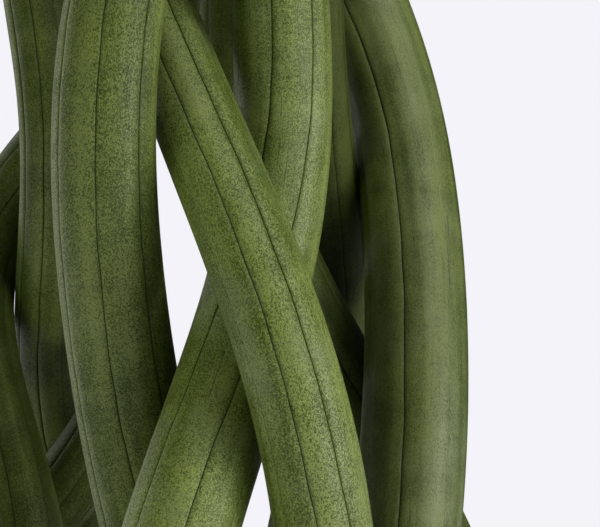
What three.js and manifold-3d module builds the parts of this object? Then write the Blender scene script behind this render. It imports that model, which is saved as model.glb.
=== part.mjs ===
// A braided cylindrical snake plant in a clay pot: nine round leaves in three braids, a band round the top
// of each braid, the soil and the pot. Millimetres, +Z up. The origin is the middle of the pot's foot, and the
// front braid is on the -Y side.

import * as THREE from 'three';
import { mergeVertices } from 'three/addons/utils/BufferGeometryUtils.js';
import Module from 'manifold-3d';

const wasm = await Module();
wasm.setup();

// ---- Driving dimensions -------------------------------------------------------------------------------

const POT = {
  height: 180,
  footRadius: 78,
  neckRadius: 98, // outside, just under the rim band
  rimRadius: 105,
  rimHeight: 42,
  wall: 8,
  floor: 11,
  drainRadius: 9,
  edge: 3, // rounding of the rim and of the foot
  segments: 48,
};

const SOIL = {
  level: 162, // at the wall
  crown: 3, // rise of the middle over the wall
  segments: 40,
};

const CLEARANCE = 0.35; // between pieces that touch in the real plant

// Values of a braid that change along it are given at this height.
const HEART = 380;

const LEAF = {
  rootDepth: 16, // below the soil's level
  taper: 0.87, // share of the girth that is gone at the tip
  taperPower: 1.8,
  spine: 14, // length of the hard pointed end
  fullLength: 640, // soil to tip, of the leaf that sets how fast a braid narrows
  sides: 10,
  steps: 50,
};

const BRAID = {
  swing: 21.9, // sideways reach of a leaf's middle from the braid's axis, at the heart
  depth: 15.9, // reach towards the front and the back
  flatness: 0.04, // third harmonic, which straightens the outer bends
  tighten: 0.0004, // growth of the turn rate with height, degrees per mm squared
  swayReach: 150, // the axis leans only within about this distance of the heart
  nudgeReach: 70, // and a leaf's own nudge dies out over this one
};

const BAND = { width: 7, thickness: 1.2, slack: 0.6, corners: 40 };

// One braid: where its axis is at the heart, how far that leans per mm of height, the way the braid faces
// (0 is the front, turning anticlockwise seen from above), the phase of its first leaf at the heart, how many
// degrees it turns per mm going down, the height up to which it turns evenly, and the phase in which its leaves
// then run on side by side.
// One leaf: radius at the soil, height of the tip, change of the swing, nudge of its middle at the heart, how
// much that nudge changes per mm of height, and how far the free tip spreads.
const BRAIDS = [
  {
    name: 'front', axis: [4, -41.5], lean: [-0.07, 0.055], facing: -1,
    phase: 31, turn: 0.885, evenUpTo: 540, restPhase: -180,
    leaves: [
      { girth: 11.0, tip: 790, swing: -1.5, nudge: [-0.5, 0], slant: [-0.035, 0], spread: [4, -20] },
      { girth: 12.7, tip: 810, swing: -0.5, nudge: [0.5, -2], slant: [0.01, 0], spread: [-24, -4] },
      { girth: 12.8, tip: 782, swing: 0, nudge: [1, 0], slant: [0, 0], spread: [20, 2] },
    ],
  },
  {
    name: 'right', axis: [31, 14.5], lean: [-0.14, -0.075], facing: 157,
    phase: 273.5, turn: 0.875, evenUpTo: 570, restPhase: 60,
    leaves: [
      { girth: 13.4, tip: 805, swing: 0, nudge: [1, 3.5], slant: [-0.075, 0], spread: [-2, 14] },
      { girth: 10.2, tip: 785, swing: -0.5, nudge: [6, -6.5], slant: [-0.125, -0.13], spread: [18, 14] },
      { girth: 9.3, tip: 768, swing: -0.5, nudge: [4.5, -0.5], slant: [0.06, 0], spread: [22, -8] },
    ],
  },
  {
    name: 'left', axis: [-29.5, 32.5], lean: [0.125, 0.025], facing: 220,
    phase: 51.1, turn: 1.22, evenUpTo: 570, restPhase: -240,
    leaves: [
      { girth: 10.2, tip: 775, swing: -1.7, nudge: [-2.2, 1.7], slant: [-0.02, 0], spread: [-12, -14] },
      { girth: 9.7, tip: 798, swing: 0, nudge: [-6.8, 1.5], slant: [-0.005, 0.03], spread: [-2, 22] },
      { girth: 9.6, tip: 780, swing: -1, nudge: [-12.5, 4.6], slant: [-0.245, 0.1], spread: [-22, 6] },
    ],
  },
];

const COLOURS = {
  leaf: { color: 0x4d6b2c, roughness: 0.5 },
  band: { color: 0x9a8355, roughness: 0.9 },
  soil: { color: 0x2f241c, roughness: 1 },
  pot: { color: 0xb4623f, roughness: 0.85 },
};

// ---- The leaves' shape --------------------------------------------------------------------------------

const radians = (degrees) => THREE.MathUtils.degToRad(degrees);
const clamp01 = (value) => THREE.MathUtils.clamp(value, 0, 1);

// What is left of a girth at a height, for a leaf that ends at tip.
function tapered(z, tip) {
  const along = clamp01((z - SOIL.level) / (tip - SOIL.level));
  return 1 - LEAF.taper * along ** LEAF.taperPower;
}

function leafRadius(leaf, z) {
  const spine = Math.sqrt(clamp01((leaf.tip - z) / LEAF.spine));
  return leaf.girth * tapered(z, leaf.tip) * spine;
}

// A braid narrows as its leaves do.
function braidWidth(z) {
  const end = SOIL.level + LEAF.fullLength;
  return tapered(z, end) / tapered(HEART, end);
}

const evenPhase = (braid, up) => braid.phase - braid.turn * up - BRAID.tighten * up * up;

// The height at which the leaves of a braid stop crossing: the turn rate falls evenly to nothing there.
function crossingEnd(braid) {
  const start = braid.evenUpTo - HEART;
  const rate = braid.turn + 2 * BRAID.tighten * start;
  return braid.evenUpTo + (2 * (evenPhase(braid, start) - braid.restPhase)) / rate;
}

function braidPhase(braid, z) {
  if (z < braid.evenUpTo) return evenPhase(braid, z - HEART);
  const start = braid.evenUpTo - HEART;
  const rate = braid.turn + 2 * BRAID.tighten * start;
  const ease = crossingEnd(braid) - braid.evenUpTo;
  const t = clamp01((z - braid.evenUpTo) / ease);
  return evenPhase(braid, start) - rate * ease * (t - (t * t) / 2);
}

// The middle of a leaf at a height. The three leaves of a flat braid follow one figure of eight, a third of a
// turn apart, so each passes over the middle one on its way out and under it on its way back.
function leafCentre(braid, leaf, index, z) {
  const up = z - HEART;
  const phase = radians(braidPhase(braid, z) + [0, 120, -120][index]);
  const width = braidWidth(z);
  const sideways = (BRAID.swing + leaf.swing) * width * (Math.sin(phase) + BRAID.flatness * Math.sin(3 * phase));
  const outwards = BRAID.depth * width * Math.sin(2 * phase);
  const facing = radians(braid.facing);
  const sway = BRAID.swayReach * Math.tanh(up / BRAID.swayReach);
  const bump = Math.exp(-((up / BRAID.nudgeReach) ** 2));
  const free = clamp01((z - crossingEnd(braid)) / (leaf.tip - crossingEnd(braid))) ** 2;
  return new THREE.Vector3(
    braid.axis[0] + braid.lean[0] * sway + Math.cos(facing) * sideways + Math.sin(facing) * outwards
      + (leaf.nudge[0] + leaf.slant[0] * up) * bump + leaf.spread[0] * free,
    braid.axis[1] + braid.lean[1] * sway + Math.sin(facing) * sideways - Math.cos(facing) * outwards
      + (leaf.nudge[1] + leaf.slant[1] * up) * bump + leaf.spread[1] * free,
    z,
  );
}

// ---- Geometry helpers ---------------------------------------------------------------------------------

// Shared vertices merged and collapsed triangles dropped, so the surface is closed.
function welded(geometry) {
  const bare = geometry.clone();
  bare.deleteAttribute('normal');
  bare.deleteAttribute('uv');
  const merged = mergeVertices(bare, 1e-4);
  const index = [];
  for (let i = 0; i < merged.index.count; i += 3) {
    const [a, b, c] = [0, 1, 2].map((corner) => merged.index.getX(i + corner));
    if (a !== b && b !== c && c !== a) index.push(a, b, c);
  }
  merged.setIndex(index);
  return merged;
}

function toSolid(geometry) {
  const closed = welded(geometry);
  return new wasm.Manifold(new wasm.Mesh({
    numProp: 3,
    vertProperties: Float32Array.from(closed.attributes.position.array),
    triVerts: Uint32Array.from(closed.index.array),
  }));
}

function toGeometry(solid) {
  const mesh = solid.getMesh();
  const geometry = new THREE.BufferGeometry();
  geometry.setAttribute('position', new THREE.BufferAttribute(mesh.vertProperties, 3));
  geometry.setIndex(new THREE.BufferAttribute(mesh.triVerts, 1));
  return geometry;
}

function part(name, geometry, colour) {
  const closed = welded(geometry);
  closed.computeVertexNormals();
  const mesh = new THREE.Mesh(closed, new THREE.MeshStandardMaterial({ ...colour, metalness: 0 }));
  mesh.name = name;
  return mesh;
}

// A quarter round of the pot's profile, between two angles in degrees.
function corner(x, z, radius, from, to, steps = 4) {
  return Array.from({ length: steps + 1 }, (_, i) => {
    const angle = radians(from + ((to - from) * i) / steps);
    return new THREE.Vector2(x + radius * Math.cos(angle), z + radius * Math.sin(angle));
  });
}

// ---- Sub-parts ----------------------------------------------------------------------------------------

// A straight leaf is turned on the lathe about its own axis, and each point is then carried to the bent axis.
// Growing it by a margin gives the tool that cuts its socket in the soil.
function leafGeometry(braid, leaf, index, margin = 0) {
  const bottom = SOIL.level - LEAF.rootDepth - margin;
  const height = leaf.tip - bottom;
  const profile = [new THREE.Vector2(0, bottom)];
  for (let step = 0; step <= LEAF.steps; step += 1) {
    // The last steps are shorter, so that the point is well shaped.
    const along = Math.sin(((step / LEAF.steps) * Math.PI) / 2) ** 1.1;
    const z = step === LEAF.steps ? leaf.tip : bottom + height * Math.min(along, 1);
    profile.push(new THREE.Vector2(step === LEAF.steps ? 0 : leafRadius(leaf, z) + margin, z));
  }
  const geometry = new THREE.LatheGeometry(profile, LEAF.sides);
  const position = geometry.attributes.position;
  for (let i = 0; i < position.count; i += 1) {
    const z = position.getY(i);
    const centre = leafCentre(braid, leaf, index, z);
    const tangent = leafCentre(braid, leaf, index, z + 1).sub(leafCentre(braid, leaf, index, z - 1)).normalize();
    const across = new THREE.Vector3(1, 0, 0).addScaledVector(tangent, -tangent.x).normalize();
    const beside = new THREE.Vector3().crossVectors(across, tangent);
    centre.addScaledVector(across, position.getX(i)).addScaledVector(beside, position.getZ(i));
    position.setXYZ(i, centre.x, centre.y, centre.z);
  }
  return geometry;
}

// A flat band drawn round the three leaves of a braid where they have stopped crossing.
function bandGeometry(braid) {
  const height = crossingEnd(braid);
  const discs = braid.leaves.map((leaf, index) => {
    const centre = leafCentre(braid, leaf, index, height);
    return { x: centre.x, y: centre.y, radius: leafRadius(leaf, height) };
  });
  const outline = (margin) => Array.from({ length: BAND.corners }, (_, i) => {
    const angle = (2 * Math.PI * i) / BAND.corners;
    const [x, y] = [Math.cos(angle), Math.sin(angle)];
    const reach = (disc) => disc.x * x + disc.y * y + disc.radius;
    const outer = discs.reduce((best, disc) => (reach(disc) > reach(best) ? disc : best));
    const radius = outer.radius + margin;
    return new THREE.Vector2(outer.x + radius * x, outer.y + radius * y);
  });
  const shape = new THREE.Shape(outline(BAND.slack + BAND.thickness));
  shape.holes.push(new THREE.Path(outline(BAND.slack)));
  const geometry = new THREE.ExtrudeGeometry(shape, { depth: BAND.width, bevelEnabled: false, steps: 1 });
  return geometry.translate(0, 0, height - BAND.width / 2);
}

// The inside wall's radius at a height: it runs straight from the floor's edge to the rim.
function potInside(z) {
  const bottom = POT.footRadius - POT.wall;
  const top = POT.rimRadius - POT.wall;
  return THREE.MathUtils.lerp(bottom, top, (z - POT.floor) / (POT.height - POT.floor));
}

function potGeometry() {
  const band = POT.height - POT.rimHeight;
  const lip = POT.rimRadius - POT.edge;
  const profile = [
    new THREE.Vector2(POT.drainRadius, 0),
    ...corner(POT.footRadius - POT.edge, POT.edge, POT.edge, -90, 0),
    new THREE.Vector2(POT.neckRadius, band),
    ...corner(lip, band + POT.edge, POT.edge, -90, 0, 2),
    ...corner(lip, POT.height - POT.edge, POT.edge, 0, 90),
    ...corner(potInside(POT.height) + POT.edge, POT.height - POT.edge, POT.edge, 90, 180),
    new THREE.Vector2(potInside(POT.floor), POT.floor),
    new THREE.Vector2(POT.drainRadius, POT.floor),
    new THREE.Vector2(POT.drainRadius, 0),
  ];
  return new THREE.LatheGeometry(profile, POT.segments);
}

function soilGeometry() {
  const bottom = POT.floor + CLEARANCE;
  // A little more than the clearance, because the wall and the soil are many-sided and turned alike.
  const wallGap = 2 * CLEARANCE;
  const crown = SOIL.level + SOIL.crown;
  const edge = potInside(SOIL.level) - wallGap;
  const blank = new THREE.LatheGeometry([
    new THREE.Vector2(0, bottom),
    new THREE.Vector2(potInside(bottom) - wallGap, bottom),
    new THREE.Vector2(edge, SOIL.level),
    new THREE.Vector2(edge * 0.75, SOIL.level + SOIL.crown * 0.6),
    new THREE.Vector2(edge * 0.4, crown),
    new THREE.Vector2(0, crown),
  ], SOIL.segments).rotateX(Math.PI / 2);
  let soil = toSolid(blank);
  for (const braid of BRAIDS) {
    braid.leaves.forEach((leaf, index) => {
      soil = soil.subtract(toSolid(leafGeometry(braid, leaf, index, CLEARANCE)));
    });
  }
  return toGeometry(soil);
}

// ---- Assembly -----------------------------------------------------------------------------------------

const plant = new THREE.Group();
plant.add(part('pot', potGeometry().rotateX(Math.PI / 2), COLOURS.pot));
plant.add(part('soil', soilGeometry(), COLOURS.soil));
for (const braid of BRAIDS) {
  braid.leaves.forEach((leaf, index) => {
    plant.add(part(`leaf_${braid.name}_${index + 1}`, leafGeometry(braid, leaf, index), COLOURS.leaf));
  });
  plant.add(part(`band_${braid.name}`, bandGeometry(braid), COLOURS.band));
}

export default plant;
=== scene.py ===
import math
import random
from dataclasses import dataclass

import bpy
import numpy as np
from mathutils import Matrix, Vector


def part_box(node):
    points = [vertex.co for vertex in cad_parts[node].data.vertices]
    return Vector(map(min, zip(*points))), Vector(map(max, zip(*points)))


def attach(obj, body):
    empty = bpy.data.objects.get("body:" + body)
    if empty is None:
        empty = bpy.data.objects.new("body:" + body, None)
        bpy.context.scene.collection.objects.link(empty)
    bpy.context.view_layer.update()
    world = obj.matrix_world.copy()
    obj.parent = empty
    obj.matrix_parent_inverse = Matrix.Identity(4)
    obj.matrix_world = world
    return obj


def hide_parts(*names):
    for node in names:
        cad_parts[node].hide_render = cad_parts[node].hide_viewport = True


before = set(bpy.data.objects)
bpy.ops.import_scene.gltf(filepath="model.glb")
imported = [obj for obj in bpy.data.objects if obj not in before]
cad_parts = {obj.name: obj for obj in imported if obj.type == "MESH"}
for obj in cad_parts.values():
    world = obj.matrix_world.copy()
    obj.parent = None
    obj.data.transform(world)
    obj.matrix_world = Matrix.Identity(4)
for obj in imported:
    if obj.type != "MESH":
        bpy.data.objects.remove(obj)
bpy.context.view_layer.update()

bl_info = {
    "name": "Braided cylindrical snake plant",
    "version": (1, 0, 0),
    "blender": (4, 5, 0),
    "location": "View3D > Sidebar > Snake plant",
    "description": "Nine round leaves in three braids, their ties, the soil and the clay pot",
    "category": "Add Mesh",
}

BODY = "root"
MM = 0.001

# ---- Sizes of the CAD model, in millimetres -------------------------------------------------------------


def top_of(node):
    """The height of a CAD node's top, in mm to the nearest hundredth."""
    return round(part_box(node)[1].z / MM, 2)


def bottom_of(node):
    """The height of a CAD node's bottom, in mm to the nearest hundredth."""
    return round(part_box(node)[0].z / MM, 2)


CLEARANCE = 0.35  # between pieces that touch in the real plant
SOIL_CROWN = 3.0  # how far the soil rises to its middle
SOIL_LEVEL = top_of("soil") - SOIL_CROWN
ROOT_DEPTH = 16.0
HEART = 380.0  # the height at which a braid's changing values are given
TAPER = 0.87  # share of the girth that is gone at the tip
TAPER_POWER = 1.8
SPINE = 14.0  # length over which the tip closes to its point
FULL_TIP = SOIL_LEVEL + 640.0  # the tip that a braid's narrowing goes by

SWING = 21.9  # how far a leaf swings sideways in its braid
DEPTH = 15.9  # how far it swings towards the front and the back
FLATNESS = 0.04  # share of a third wave, which flattens the turns of the swing
TIGHTEN = 0.0004  # half of what the turn per mm gains with each mm, in degrees
SWAY_REACH = 150.0  # a lean or a drift fades out this far from the heart
NUDGE_REACH = 70.0  # so does a nudge

TIE_WIDTH = round(top_of("band_front") - bottom_of("band_front"), 2)

POT_HEIGHT = top_of("pot")
POT_RIM = round(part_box("pot")[1].x / MM, 2)  # radius of the rim
POT_NECK = 98.0  # radius under the collar
POT_FOOT = 78.0  # radius of the foot
POT_COLLAR = 42.0  # height of the collar
POT_WALL = 8.0
POT_FLOOR = round(bottom_of("soil") - CLEARANCE, 2)  # height of the floor inside
POT_DRAIN = 9.0  # radius of the drain hole


@dataclass
class Grooves:
    """The grooves round one leaf.

    The first one's bearing is in degrees at the heart: 0 faces the front and it grows to the right. The
    drift is how many degrees they turn per mm of height. The clear ones are deep, and the others faint."""

    count: int
    first: float
    drift: float
    clear: tuple
    faint: float


@dataclass
class Leaf:
    """One leaf, in mm: its greatest radius, its tip's height, and how it strays from its braid's figure.

    The swing adds to its braid's. Near the heart the nudge shifts it and the slant shifts it more with each
    mm of height, and above the tie it leans out by the spread. The tone is how light its green is, the
    grain how strong its flecks are and the gloss how waxy its skin. A tone above 1 is the leaf's own lighter
    green. A tone below 1 is partly the leaf's own deeper green and mostly painted shade, for leaves that
    stand in the shade of others. The leaves at the back get the darkest tones, weaker flecks and less gloss."""

    girth: float
    tip: float
    swing: float
    nudge: tuple
    slant: tuple
    spread: tuple
    tone: float
    grain: float
    gloss: float
    grooves: Grooves


@dataclass
class Braid:
    """Three leaves that follow one figure of eight, a third of a turn apart.

    The axis is where its middle stands at the heart, the lean how far that shifts per mm of height, and the
    facing how many degrees its flat side is turned from the front. The phase is where its first leaf is on
    the figure at the heart, in degrees, and the turn how far it goes per mm. Above even_up_to the turning
    eases until the rest phase is reached."""

    name: str
    axis: tuple
    lean: tuple
    facing: float
    phase: float
    turn: float
    even_up_to: float
    rest_phase: float
    leaves: tuple


# A tone below 1 is painted shade: it darkens a leaf that stands in the shade of others, most of all at the
# back.
FRONT_LEAVES = (
    Leaf(
        girth=11.0, tip=top_of("leaf_front_1"), swing=-1.5, nudge=(-0.5, 0),
        slant=(-0.035, 0), spread=(4, -20), tone=1.02, grain=1.0, gloss=1.0,
        grooves=Grooves(count=9, first=-13.4, drift=-0.20, clear=(0, 1), faint=0.4),
    ),
    Leaf(
        girth=12.7, tip=top_of("leaf_front_2"), swing=-0.5, nudge=(0.5, -2),
        slant=(0.01, 0), spread=(-24, -4), tone=1.05, grain=0.85, gloss=0.9,
        grooves=Grooves(count=7, first=-25.5, drift=0.30, clear=(0, 1), faint=0.6),
    ),
    Leaf(
        girth=12.8, tip=top_of("leaf_front_3"), swing=0, nudge=(1, 0),
        slant=(0, 0), spread=(20, 2), tone=0.78, grain=1.0, gloss=0.6,
        grooves=Grooves(count=7, first=-5, drift=0.02, clear=(0, 1, 6), faint=0.6),
    ),
)
RIGHT_LEAVES = (
    Leaf(
        girth=13.4, tip=top_of("leaf_right_1"), swing=0, nudge=(1, 3.5),
        slant=(-0.075, 0), spread=(-2, 14), tone=0.69, grain=0.42, gloss=0.87,
        grooves=Grooves(count=7, first=-17, drift=-0.06, clear=(0,), faint=0.2),
    ),
    Leaf(
        girth=10.2, tip=top_of("leaf_right_2"), swing=-0.5, nudge=(6, -6.5),
        slant=(-0.125, -0.13), spread=(18, 14), tone=0.32, grain=0.6, gloss=0.05,
        grooves=Grooves(count=8, first=-20, drift=0.15, clear=(0, 3), faint=0.5),
    ),
    Leaf(
        girth=9.3, tip=top_of("leaf_right_3"), swing=-0.5, nudge=(4.5, -0.5),
        slant=(0.06, 0), spread=(22, -8), tone=0.45, grain=0.6, gloss=0.3,
        grooves=Grooves(count=7, first=10, drift=-0.10, clear=(0, 2), faint=0.5),
    ),
)
LEFT_LEAVES = (
    Leaf(
        girth=10.2, tip=top_of("leaf_left_1"), swing=-1.7, nudge=(-2.2, 1.7),
        slant=(-0.02, 0), spread=(-12, -14), tone=0.5, grain=0.6, gloss=0.3,
        grooves=Grooves(count=7, first=5, drift=0.12, clear=(0, 3), faint=0.5),
    ),
    Leaf(
        girth=9.7, tip=top_of("leaf_left_2"), swing=0, nudge=(-6.8, 1.5),
        slant=(-0.005, 0.03), spread=(-2, 22), tone=0.64, grain=0.7, gloss=0.5,
        grooves=Grooves(count=9, first=-14, drift=0.05, clear=(0, 8), faint=0.4),
    ),
    Leaf(
        girth=9.6, tip=top_of("leaf_left_3"), swing=-1, nudge=(-12.5, 4.6),
        slant=(-0.245, 0.1), spread=(-22, 6), tone=0.6, grain=0.6, gloss=0.3,
        grooves=Grooves(count=7, first=0, drift=-0.15, clear=(1, 4), faint=0.5),
    ),
)
BRAIDS = (
    Braid(
        name="front", axis=(4, -41.5), lean=(-0.07, 0.055), facing=-1,
        phase=31, turn=0.885, even_up_to=540, rest_phase=-180, leaves=FRONT_LEAVES,
    ),
    Braid(
        name="right", axis=(31, 14.5), lean=(-0.14, -0.075), facing=157,
        phase=273.5, turn=0.875, even_up_to=570, rest_phase=60, leaves=RIGHT_LEAVES,
    ),
    Braid(
        name="left", axis=(-29.5, 32.5), lean=(0.125, 0.025), facing=220,
        phase=51.1, turn=1.22, even_up_to=570, rest_phase=-240, leaves=LEFT_LEAVES,
    ),
)
PHASE_STEPS = (0, 120, -120)  # how far each leaf of a braid is along the figure, in degrees

# ---- The leaves' course ---------------------------------------------------------------------------------


def clamp01(value):
    return np.clip(value, 0.0, 1.0)


def tapered(z, tip):
    """What is left of a girth at a height, for a leaf that ends at tip."""
    return 1 - TAPER * clamp01((z - SOIL_LEVEL) / (tip - SOIL_LEVEL)) ** TAPER_POWER


def leaf_radius(leaf, z):
    """A leaf's radius at the heights z, round down to its point."""
    return leaf.girth * tapered(z, leaf.tip) * np.sqrt(clamp01((leaf.tip - z) / SPINE))


def braid_width(z):
    """A braid's width at the heights z, as a share of its width at the heart."""
    return tapered(z, FULL_TIP) / tapered(HEART, FULL_TIP)


def even_phase(braid, up):
    """A braid's phase in degrees, this far above the heart, while it turns evenly."""
    return braid.phase - braid.turn * up - TIGHTEN * up * up


def easing(braid):
    """The phase and turn rate where even turning ends, and the length over which the turning dies away."""
    up = braid.even_up_to - HEART
    rate = braid.turn + 2 * TIGHTEN * up
    phase = even_phase(braid, up)
    return phase, rate, 2 * (phase - braid.rest_phase) / rate


def crossing_end(braid):
    """The height at which a braid's leaves stop crossing, where its tie is."""
    return braid.even_up_to + easing(braid)[2]


def braid_phase(braid, z):
    """A braid's phase in degrees at the heights z: even turning that eases to a stop under the tie."""
    phase, rate, length = easing(braid)
    t = clamp01((z - braid.even_up_to) / length)
    eased = phase - rate * length * (t - t * t / 2)
    return np.where(z < braid.even_up_to, even_phase(braid, z - HEART), eased)


def leaf_centre(braid, index, z):
    """The middle of a leaf at the heights z, as an array of points."""
    leaf = braid.leaves[index]
    up = z - HEART
    phase = np.radians(braid_phase(braid, z) + PHASE_STEPS[index])
    width = braid_width(z)
    sideways = (SWING + leaf.swing) * width * (np.sin(phase) + FLATNESS * np.sin(3 * phase))
    outwards = DEPTH * width * np.sin(2 * phase)
    facing = math.radians(braid.facing)
    sway = SWAY_REACH * np.tanh(up / SWAY_REACH)
    bump = np.exp(-((up / NUDGE_REACH) ** 2))
    end = crossing_end(braid)
    free = clamp01((z - end) / (leaf.tip - end)) ** 2
    x = braid.axis[0] + braid.lean[0] * sway + math.cos(facing) * sideways + math.sin(facing) * outwards
    y = braid.axis[1] + braid.lean[1] * sway + math.sin(facing) * sideways - math.cos(facing) * outwards
    x = x + (leaf.nudge[0] + leaf.slant[0] * up) * bump + leaf.spread[0] * free
    y = y + (leaf.nudge[1] + leaf.slant[1] * up) * bump + leaf.spread[1] * free
    return np.stack([x, y, z + 0 * x], axis=-1)


def leaf_directions(braid, index, z):
    """Unit vectors across a leaf at the heights z: to its right and to its front, square to its course."""
    tangent = leaf_centre(braid, index, z + 1) - leaf_centre(braid, index, z - 1)
    tangent /= np.linalg.norm(tangent, axis=-1, keepdims=True)
    right = np.array([1.0, 0, 0]) - tangent * tangent[..., :1]
    right /= np.linalg.norm(right, axis=-1, keepdims=True)
    return right, np.cross(right, tangent)


# ---- Materials ------------------------------------------------------------------------------------------


class Wire:
    """One output in a material's tree. Arithmetic on it adds Math nodes."""

    def __init__(self, paint, socket):
        self.paint = paint
        self.socket = socket

    def math(self, operation, *values):
        return self.paint.add("ShaderNodeMath", {"operation": operation}, dict(enumerate(values)))

    def at_most(self, limit):
        return self.math("MINIMUM", self, limit)

    def __add__(self, other):
        return self.math("ADD", self, other)

    def __sub__(self, other):
        return self.math("SUBTRACT", self, other)

    def __rsub__(self, other):
        return self.math("SUBTRACT", other, self)

    def __mul__(self, other):
        return self.math("MULTIPLY", self, other)

    __radd__ = __add__
    __rmul__ = __mul__

    def ease(self, low, high):
        """0 below low, 1 above high and smooth between; low may be the larger of the two."""
        values = {"Value": self, "From Min": low, "From Max": high}
        return self.paint.add("ShaderNodeMapRange", {"interpolation_type": "SMOOTHSTEP"}, values)


class Paint:
    """A material being mixed for one finish."""

    def __init__(self, name, fixed):
        self.material = bpy.data.materials.new(name)
        self.material.use_nodes = True
        self.tree = self.material.node_tree
        self.shader = self.tree.nodes["Principled BSDF"]
        for socket, value in fixed.items():
            self.shader.inputs[socket].default_value = value

    def add(self, kind, settings, inputs, output=0):
        """Adds a node, makes its settings, then fills its sockets with values or links."""
        node = self.tree.nodes.new(kind)
        for name, value in settings.items():
            setattr(node, name, value)
        for name, value in inputs.items():
            if isinstance(value, Wire):
                self.tree.links.new(value.socket, node.inputs[name])
            else:
                node.inputs[name].default_value = value
        return Wire(self, node.outputs[output])

    def place(self):
        return self.add("ShaderNodeTexCoord", {}, {}, "Object")

    def attribute(self, name, output="Fac"):
        return self.add("ShaderNodeAttribute", {"attribute_name": name}, {}, output)

    def stretch(self, vector, scale):
        return self.add("ShaderNodeVectorMath", {"operation": "MULTIPLY"}, {0: vector, 1: scale})

    def noise(self, vector, scale, detail=2.0, roughness=0.5, distortion=0.0):
        """Cloudy values round 0.5, with this many swings to the metre."""
        values = {"Vector": vector, "Scale": scale, "Detail": detail}
        values |= {"Roughness": roughness, "Distortion": distortion}
        return self.add("ShaderNodeTexNoise", {}, values)

    def streaks(self, vector, scales, **settings):
        """Noise with its own scale along each axis."""
        return self.noise(self.stretch(vector, scales), 1.0, **settings)

    def cells(self, vector, scale):
        """How far each place is from the middle of its cell."""
        return self.add("ShaderNodeTexVoronoi", {}, {"Vector": vector, "Scale": scale})

    def cell_tones(self, vector, scale):
        """One value for each cell."""
        tones = self.add("ShaderNodeTexVoronoi", {}, {"Vector": vector, "Scale": scale}, "Color")
        return self.add("ShaderNodeSeparateColor", {}, {"Color": tones})

    def blend(self, factor, first, second):
        """One colour over another. A mix of colours has its sockets from 6 on, and output 2 is its result."""
        return self.add("ShaderNodeMix", {"data_type": "RGBA"}, {0: factor, 6: first, 7: second}, 2)

    def bump(self, height, distance):
        return self.add("ShaderNodeBump", {}, {"Height": height, "Distance": distance, "Strength": 1.0})

    def feed(self, **wires):
        """Links finished wires to the shader, as in feed(Base_Color=skin)."""
        for name, wire in wires.items():
            self.tree.links.new(wire.socket, self.shader.inputs[name.replace("_", " ")])
        return self.material


def opaque(colour):
    return (*colour, 1.0)


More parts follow.
